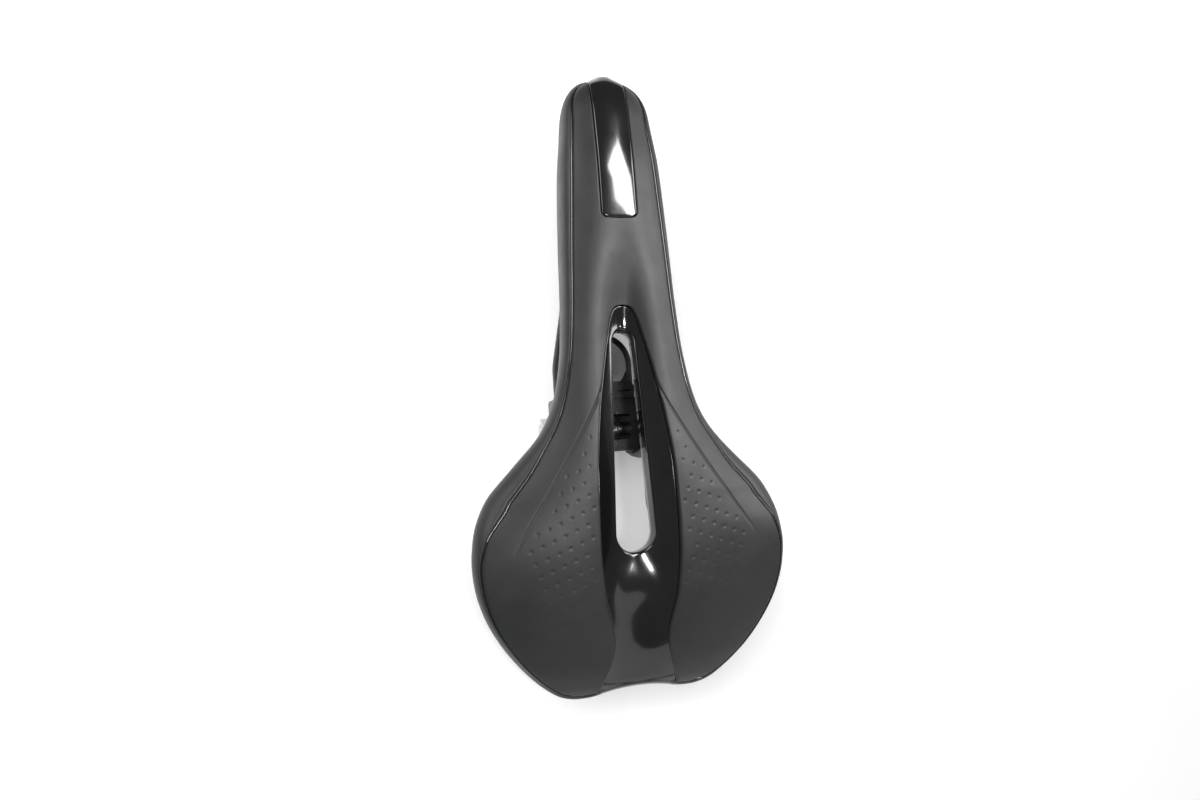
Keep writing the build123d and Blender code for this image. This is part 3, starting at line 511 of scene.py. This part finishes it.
def build_tray():
    """The tray: rays from the cut-out's lip to the cover's inner edge, and to the seam at the tail."""
    slot_edge = slot_outline()
    inner_len = arc_length(slot_edge)
    channel = INNER[INNER_LEN <= inner_at(22.6, 0)][::-1]
    seam_tail = along(SEAM, SEAM_LEN, np.linspace(L_TAIL, 0, 40))
    outer = resample(np.concatenate([channel, seam_tail]), spacing=0.4)
    outer_len = arc_length(outer)

    def near(curve, lengths, x, y):
        return float(lengths[np.hypot(curve[:, 0] - x, curve[:, 1] - y).argmin()])

    pairs = [(0, 0), (near(slot_edge, inner_len, 5.6, 5), near(outer, outer_len, 9.2, 4)),
             (near(slot_edge, inner_len, 7, -30), near(outer, outer_len, 15.6, -30)),
             (near(slot_edge, inner_len, 9.3, -78), near(outer, outer_len, 18.6, -80)),
             (near(slot_edge, inner_len, 8.5, -86), near(outer, outer_len, 16.8, -109)),
             (near(slot_edge, inner_len, 6.5, -88.5), near(outer, outer_len, 12.6, -130)),
             (near(slot_edge, inner_len, 4.2, -90), near(outer, outer_len, 17.5, -152)),
             (inner_len[-1], outer_len[-1])]
    a, b = np.array(pairs).T
    s = np.concatenate([np.linspace(0, pairs[3][0], 150), np.linspace(pairs[3][0], inner_len[-1], 150)[1:]])
    inner = along(slot_edge, inner_len, s)
    edge = along(outer, outer_len, np.interp(s, a, b))
    way = edge - inner
    way /= np.linalg.norm(way, axis=1)[:, None]
    slot_way = np.stack([np.gradient(inner[:, 1]), -np.gradient(inner[:, 0])], 1)
    slot_way /= -np.linalg.norm(slot_way, axis=1)[:, None]
    slot_way[0], slot_way[-1] = (0, 1), (0, -1)

    def height(plan):
        return tray_z(plan[:, 0], plan[:, 1])

    columns = []
    start = inner + slot_way * SLOT_ROLL
    lip_top, wall_low = height(start), SLOT_BOTTOM + SLOT_LIP
    for out, z in ((1.7, SLOT_BOTTOM), (0.3, SLOT_BOTTOM), (0.0, wall_low)):
        columns.append(np.column_stack([inner + slot_way * out, np.full(len(inner), z)]))
    for share in (0.35, 0.7):
        columns.append(np.column_stack([inner, wall_low + (lip_top - SLOT_ROLL - wall_low) * share]))
    for degrees in (0, 22, 45, 67):
        r = math.radians(degrees)
        columns.append(np.column_stack([inner + slot_way * SLOT_ROLL * (1 - math.cos(r)),
                                        lip_top - SLOT_ROLL * (1 - math.sin(r))]))
    over_tail = np.interp(s, a, b) - arc_length(channel)[-1]
    tail_rows = over_tail > 0.2
    end = edge - way * TRAY_ROOM
    end[tail_rows] = side_at(L_TAIL - over_tail[tail_rows], 0.0, -0.3)[:, :2]
    end[-1, 0] = 0
    for t in np.linspace(0, 1, 44):
        plan = start + (end - start) * t
        columns.append(np.column_stack([plan, height(plan)]))
    for out, drop in ((0.25, 0.07), (0.45, 0.3), (0.5, 1.2)):
        columns.append(np.column_stack([end + way * out, height(end) - drop]))
    grid = np.stack(columns, 1)
    for column, w in ((-3, 0.012), (-2, 0.03), (-1, 0.08)):
        grid[tail_rows, column] = side_at(L_TAIL - over_tail[tail_rows], w, STRIP_LIFT)
    grid[[0, -1], :, 0] = 0
    return grid_object("tray", grid)


def build_tail_strip():
    """The strip that wraps over the tail below the tray."""
    index = np.nonzero(SEAM_LEN <= L_TAIL + TUCK_LENGTH)[0]
    tuck = TUCK_DEPTH * smooth(L_TAIL, L_TAIL + TUCK_LENGTH, SEAM_LEN[index])[:, None]
    columns = [side_points(index, 0.0, push=-0.5)]
    for w in np.linspace(0.05, 1, 22):
        columns.append(side_points(index, w, push=STRIP_LIFT - tuck))
    for inward, lift in ((0.6, -0.9), (1.8, -1.0), (5.0, -1.0), (5.2, 0.8)):
        columns.append(hem_points(index, inward, lift))
    grid = np.stack(columns, 1)
    grid[0, :, 0] = 0
    return grid_object("tail_strip", grid)


# ---- Seam beads, foam pad, bolt and staples ----
def build_bead(name, side):
    """The glossy line in the seam groove."""
    lengths = np.linspace(L_TAIL + 1.0, L_NOSE + 0.4, 420)
    plan = along(SEAM, SEAM_LEN, lengths)
    z = top_z(plan[:, 0], plan[:, 1]) - BEAD_SINK
    return tube(name, np.column_stack([plan[:, 0] * side, plan[:, 1], z]), BEAD_R)


def pad_shape():
    """The foam pad's starting shape: a little thinner than the room between cover and base shell."""
    rows = np.linspace(PAD_TAIL, PAD_NOSE, PAD_ROWS)
    halves = []
    for way in (-1, 1):
        loops = []
        for y in rows:
            # Ahead of the channel the two halves overlap at the middle, and the remesh makes them one.
            inner = float(channel_half(y)) + PAD_INNER if y < 21 else -1.0
            xs = np.linspace(inner, float(seam_width(y)) - PAD_OUTER, PAD_COLUMNS)
            top = top_z(np.abs(xs), y) - PAD_UNDER_TOP
            bottom = top_z(np.abs(xs), y, 0.0) - COVER_THICKNESS - pad_depth(y) + PAD_OVER_SHELL
            bottom = np.minimum(bottom, top - PAD_THINNEST)
            ring = np.column_stack([np.append(xs, xs[::-1]) * way, np.full(2 * PAD_COLUMNS, y),
                                    np.append(top, bottom[::-1])])
            loops.append(np.concatenate([ring, ring[:1]]))
        halves.append(capped_tube("pad_half", np.stack(loops)))
    return join("foam_cushion", *halves)


def applied(obj):
    """Apply all modifiers of an object, keeping the object."""
    graph = bpy.context.evaluated_depsgraph_get()
    mesh = bpy.data.meshes.new_from_object(obj.evaluated_get(graph))
    obj.modifiers.clear()
    obj.data = mesh


def positions(obj):
    """An object's vertex positions, one row each."""
    co = np.empty(len(obj.data.vertices) * 3)
    obj.data.vertices.foreach_get("co", co)
    return co.reshape(-1, 3)


def build_pad():
    """The foam pad, blown up a little by a cloth simulation so that it fills its room."""
    pad = pad_shape()
    remesh = pad.modifiers.new("remesh", "REMESH")
    remesh.mode = "VOXEL"
    remesh.voxel_size = PAD_VOXEL * MM
    applied(pad)
    start = positions(pad)
    cloth = pad.modifiers.new("cloth", "CLOTH")
    cloth.settings.use_pressure = True
    cloth.settings.uniform_pressure_force = PAD_PRESSURE
    cloth.settings.effector_weights.gravity = 0.0
    cloth.point_cache.frame_start = 1
    cloth.point_cache.frame_end = PAD_FRAMES
    for step in range(1, PAD_FRAMES + 1):
        bpy.context.scene.frame_set(step)
    applied(pad)
    bpy.context.scene.frame_set(1)
    moved = positions(pad) - start
    length = np.linalg.norm(moved, axis=1)[:, None]
    # Cut each point's way so that the pad stays under the cover.
    capped = start + moved * np.minimum(1.0, PAD_CAP * MM / np.maximum(length, 1e-9))
    pad.data.vertices.foreach_set("co", capped.ravel())
    pad.modifiers.new("smooth", "SUBSURF").levels = 1
    applied(pad)
    pad.data.polygons.foreach_set("use_smooth", [True] * len(pad.data.polygons))
    return pad


def build_bolt():
    """The clamp's threaded rod, with a helical thread and chamfered ends."""
    low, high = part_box("clamp_bolt")
    middle = (low + high) / 2 / MM
    half, crest = (high.x - low.x) / 2 / MM, (high.z - low.z) / 2 / MM
    xs = np.linspace(-half, half, BOLT_RINGS)
    rings = []
    for k in range(BOLT_SIDES + 1):
        a = 2 * math.pi * k / BOLT_SIDES
        phase = np.abs(((xs / THREAD_PITCH - k / BOLT_SIDES) % 1.0) * 2 - 1)
        r = crest - THREAD_DEPTH * np.clip(phase * 1.25 - 0.12, 0, 1)
        r = np.minimum(r, crest - BOLT_CHAMFER + np.clip(half - np.abs(xs), 0, BOLT_CHAMFER))
        rings.append(np.column_stack([middle.x + xs, middle.y + r * math.cos(a), middle.z + r * math.sin(a)]))
    return capped_tube("bolt_thread", np.stack(rings, 1))


def build_staples():
    """Wire staples along the folded hem, each lying in the direction of the hem."""
    pieces = []
    for y in STAPLE_STATIONS:
        middle = int(np.interp(on_seam(y=y), SEAM_LEN, np.arange(len(SEAM))))
        reach = np.arange(middle - STAPLE_REACH, middle + STAPLE_REACH + 1)
        crown = hem_points(reach, STAPLE_INSET, STAPLE_LIFT)
        lean = (crown[-1] - crown[0]) * STAPLE_LEAN
        inside = crown[[0, -1]] + np.array([-lean, lean]) + np.array([0, 0, STAPLE_LEG])
        path = resample(np.concatenate([inside[:1], crown, inside[1:]]), count=22)
        for side in (-1, 1):
            pieces.append(tube("staple", path * np.array([side, 1, 1]), STAPLE_R, 8))
    return join("hem_staples", *pieces)


cover = build_cover()
skirt_left, skirt_right = build_skirt("skirt_left", -1), build_skirt("skirt_right", 1)
nose_strip = build_nose_panel()
tray = join("tray", build_tray(), build_tail_strip())
bead_left, bead_right = build_bead("bead_left", -1), build_bead("bead_right", 1)
bolt = build_bolt()
pad = build_pad()
staples = build_staples()


# ---- Materials ----
def material(name, colour, roughness, build, **sockets):
    """A principled material: constant values on its sockets, then the nodes that build adds."""
    mat = bpy.data.materials.new(name)
    mat.use_nodes = True
    tree = mat.node_tree
    shader = tree.nodes["Principled BSDF"]
    shader.inputs["Base Color"].default_value = (*colour, 1)
    shader.inputs["Roughness"].default_value = roughness
    for key, value in sockets.items():
        shader.inputs[key.replace("_", " ")].default_value = value
    build(tree, shader)
    return mat


def object_noise(tree, scale, detail=4.0, rough=0.6, stretch=(1, 1, 1)):
    """The value of a noise texture on object coordinates, in metres."""
    coord = tree.nodes.new("ShaderNodeTexCoord")
    mapping = tree.nodes.new("ShaderNodeMapping")
    mapping.inputs["Scale"].default_value = stretch
    noise = tree.nodes.new("ShaderNodeTexNoise")
    noise.inputs["Scale"].default_value = scale
    noise.inputs["Detail"].default_value = detail
    noise.inputs["Roughness"].default_value = rough
    tree.links.new(coord.outputs["Object"], mapping.inputs["Vector"])
    tree.links.new(mapping.outputs["Vector"], noise.inputs["Vector"])
    return noise.outputs["Fac"]


def object_cells(tree, scale):
    """The distance to the nearest cell edge of a Voronoi texture on object coordinates."""
    coord = tree.nodes.new("ShaderNodeTexCoord")
    node = tree.nodes.new("ShaderNodeTexVoronoi")
    node.feature = "DISTANCE_TO_EDGE"
    node.inputs["Scale"].default_value = scale
    tree.links.new(coord.outputs["Object"], node.inputs["Vector"])
    return node.outputs["Distance"]


def drive(tree, shader, socket, source, low, high, start=0.3, end=0.7):
    """Drive a socket of the shader by a texture, between two colours or two greys."""
    node = tree.nodes.new("ShaderNodeValToRGB")
    for element, position, value in zip(node.color_ramp.elements, (start, end), (low, high)):
        element.position = position
        element.color = (*value, 1) if hasattr(value, "__len__") else (value, value, value, 1)
    tree.links.new(source, node.inputs["Fac"])
    tree.links.new(node.outputs["Color"], shader.inputs[socket])


def bump(tree, shader, source, strength, distance, below=None):
    """Bump the shader's normal by a texture, on top of the bump below if there is one."""
    node = tree.nodes.new("ShaderNodeBump")
    node.inputs["Strength"].default_value = strength
    node.inputs["Distance"].default_value = distance
    tree.links.new(source, node.inputs["Height"])
    if below:
        tree.links.new(below, node.inputs["Normal"])
    tree.links.new(node.outputs["Normal"], shader.inputs["Normal"])
    return node.outputs["Normal"]


def leather_nodes(tree, shader):
    """Fine grain: small cells and pores, with a slow change of tone and roughness."""
    tone = object_noise(tree, 42, 5)
    drive(tree, shader, "Base Color", tone, (0.013, 0.0133, 0.0140), (0.019, 0.0194, 0.0204))
    drive(tree, shader, "Roughness", object_noise(tree, 90, 6, 0.7), 0.38, 0.50)
    cells = bump(tree, shader, object_cells(tree, 2600), 0.30, 0.00012)
    bump(tree, shader, object_noise(tree, 4200, 3, 0.7), 0.25, 0.00010, cells)


def gloss_nodes(tree, shader):
    """Gloss plastic: wiped smears in the roughness and a faint ripple."""
    drive(tree, shader, "Base Color", object_noise(tree, 30, 3), (0.006, 0.006, 0.007), (0.010, 0.010, 0.011))
    drive(tree, shader, "Roughness", object_noise(tree, 60, 5, 0.6, (1, 0.4, 1)), 0.10, 0.20)
    bump(tree, shader, object_noise(tree, 120, 2, 0.5), 0.03, 0.0004)


def paint_nodes(tree, shader):
    """Black paint with a little orange peel."""
    drive(tree, shader, "Base Color", object_noise(tree, 60, 4), (0.016, 0.016, 0.018), (0.026, 0.026, 0.028))
    peel = object_noise(tree, 700, 3, 0.6)
    drive(tree, shader, "Roughness", peel, 0.26, 0.38)
    bump(tree, shader, peel, 0.10, 0.0002)


def cast_nodes(tree, shader):
    """Cast metal, painted black."""
    drive(tree, shader, "Base Color", object_noise(tree, 80, 4), (0.010, 0.010, 0.011), (0.018, 0.018, 0.020))
    grain = object_noise(tree, 1100, 4, 0.7)
    drive(tree, shader, "Roughness", grain, 0.22, 0.40)
    bump(tree, shader, grain, 0.16, 0.0003)


def zinc_nodes(tree, shader):
    """Zinc plate with patches of tone."""
    tone = object_noise(tree, 260, 5)
    drive(tree, shader, "Base Color", tone, (0.55, 0.55, 0.57), (0.74, 0.74, 0.76))
    drive(tree, shader, "Roughness", tone, 0.30, 0.46)
    bump(tree, shader, object_noise(tree, 900, 3), 0.12, 0.0002)


def shell_nodes(tree, shader):
    """Moulded plastic with a fine grain."""
    drive(tree, shader, "Base Color", object_noise(tree, 50, 4), (0.022, 0.022, 0.024), (0.034, 0.034, 0.036))
    grain = object_noise(tree, 1600, 4, 0.7)
    drive(tree, shader, "Roughness", grain, 0.50, 0.66)
    bump(tree, shader, grain, 0.35, 0.0003)


def foam_nodes(tree, shader):
    """Open foam cells, with painted shade darkening their sunken edges."""
    cells = object_cells(tree, 1500)
    # Painted shade: the colour is darkest at the cell edges, which the bump below sinks into grooves.
    drive(tree, shader, "Base Color", cells, (0.05, 0.05, 0.052), (0.12, 0.12, 0.125), 0.0, 0.4)
    bump(tree, shader, cells, 0.8, 0.0005)


def floor_nodes(tree, shader):
    """Pale paper that glows a little, so that it stays pale in the corners."""
    drive(tree, shader, "Base Color", object_noise(tree, 3, 3), 0.80, 0.84)
    shader.inputs["Emission Color"].default_value = (1, 1, 1, 1)
    shader.inputs["Emission Strength"].default_value = 0.3


leather = material("cover_leather", (0.02, 0.02, 0.022), 0.45, leather_nodes, Specular_IOR_Level=0.4)
gloss = material("gloss_black", (0.008, 0.008, 0.009), 0.14, gloss_nodes, Coat_Weight=0.5, Coat_Roughness=0.06)
paint = material("black_paint", (0.02, 0.02, 0.022), 0.3, paint_nodes)
cast = material("cast_black", (0.014, 0.014, 0.016), 0.3, cast_nodes)
zinc = material("zinc_plate", (0.65, 0.65, 0.67), 0.3, zinc_nodes, Metallic=1.0)
shell_plastic = material("shell_plastic", (0.028, 0.028, 0.03), 0.58, shell_nodes)
foam = material("foam_cells", (0.09, 0.09, 0.092), 0.9, foam_nodes)

for mat, nodes in ((shell_plastic, ("base_shell", "nose_socket", "rear_socket_left", "rear_socket_right")),
                   (paint, ("rail_left", "rail_right", "post_strap", "inner_cradle_left", "inner_cradle_right",
                            "outer_clamp_left", "outer_clamp_right")),
                   (cast, ("clamp_cap",)),
                   (zinc, ("clamp_washer_left", "clamp_washer_right", "clamp_nut_left", "clamp_nut_right"))):
    for node in nodes:
        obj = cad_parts[node]
        for slot_item in obj.material_slots:
            slot_item.material = mat
        if not obj.material_slots:
            obj.data.materials.append(mat)


# ---- What each piece is made of and stands for ----
def give(obj, mat):
    """Make an object of one material."""
    obj.data.materials.clear()
    obj.data.materials.append(mat)


for piece, mat, node, slot_name, body in (
        (cover, leather, "top_cover", "cover", "saddle"),
        (skirt_left, leather, "side_skirt_left", "skirt", "saddle"),
        (skirt_right, leather, "side_skirt_right", "skirt", "saddle"),
        (nose_strip, gloss, "nose_panel", "gloss_panel", "saddle"),
        (tray, gloss, "centre_trim", "gloss_panel", "saddle"),
        (bead_left, gloss, "seam_bead_left", "gloss_bead", "saddle"),
        (bead_right, gloss, "seam_bead_right", "gloss_bead", "saddle"),
        (pad, foam, "foam_pad", "foam", "saddle"),
        (staples, zinc, "cover_staples", "staple", "saddle"),
        (bolt, zinc, "clamp_bolt", "zinc", "rail_clamp")):
    give(piece, mat)
    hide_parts(node)
    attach(piece, body)

# ---- Floor, light and camera ----
FLOOR_SIZE, FLOOR_GAP = 8, 0.0002
bpy.ops.mesh.primitive_grid_add(x_subdivisions=8, y_subdivisions=8, size=FLOOR_SIZE,
                                location=(0, 0, cad_low.z - FLOOR_GAP))
floor = bpy.context.object
floor.name = "floor"
give(floor, material("floor_paper", (0.82, 0.82, 0.82), 0.85, floor_nodes))


def area_light(name, place, aim, size, power, size_y=None):
    """A square area light, or a rectangular one if size_y is given."""
    lamp = bpy.data.lights.new(name, "AREA")
    lamp.energy = power
    lamp.size = size
    if size_y:
        lamp.shape = "RECTANGLE"
        lamp.size_y = size_y
    obj = bpy.data.objects.new(name, lamp)
    obj.location = place
    obj.rotation_euler = (Vector(aim) - Vector(place)).to_track_quat("-Z", "Y").to_euler()
    bpy.context.scene.collection.objects.link(obj)
    return obj


world = bpy.data.worlds.new("studio")
bpy.context.scene.world = world
world.use_nodes = True
background = world.node_tree.nodes["Background"]
background.inputs["Color"].default_value = (1, 1, 1, 1)
background.inputs["Strength"].default_value = 0.12
# A wide soft light for the floor and the matt surfaces, a small one from above, and four softboxes that
# show only as reflections.
shade = area_light("shade", (-0.45, 0.35, 1.1), (0, 0, 0.03), 0.7, 15)
shade.visible_glossy = False
area_light("top", (-0.05, -0.05, 1.0), (0, -0.03, 0.02), 0.12, 3.2)
for name, place, aim, size, power, size_y in (
        ("strip", (0.42, 0.34, 0.95), (0, 0.03, 0.07), 0.62, 12, 0.28),
        ("left", (-1.0, 0.7, 0.85), (0, 0, 0.05), 0.7, 8, 0.7),
        ("right", (1.0, 0.35, 0.6), (0, 0.05, 0.05), 0.6, 9, 0.6),
        ("back", (0.35, -0.9, 0.5), (0, -0.1, 0.05), 1.6, 3.4, 0.9)):
    area_light(name, place, aim, size, power, size_y).visible_diffuse = False

CAMERA_PLACE = Vector((-0.1147, -0.0472, 0.4397))
CAMERA_AIM = Vector((-0.0152, -0.0213, 0.078))
CAMERA_ROLL = math.radians(-3.80)
SENSOR_WIDTH, LENS = 36.0, 25.4
camera = bpy.data.objects.new("camera", bpy.data.cameras.new("camera"))
bpy.context.scene.collection.objects.link(camera)
forward = (CAMERA_AIM - CAMERA_PLACE).normalized()
right = forward.cross(Vector((0, 1, 0))).normalized()
up = right.cross(forward)
cos_roll, sin_roll = math.cos(CAMERA_ROLL), math.sin(CAMERA_ROLL)
right, up = cos_roll * right + sin_roll * up, cos_roll * up - sin_roll * right
turn = Matrix((right, up, -forward)).transposed()
camera.matrix_world = Matrix.Translation(CAMERA_PLACE) @ turn.to_4x4()
camera.data.sensor_width = SENSOR_WIDTH
camera.data.lens = LENS
camera.data.clip_start = 0.005
bpy.context.scene.camera = camera
bpy.context.scene.view_settings.view_transform = "Standard"
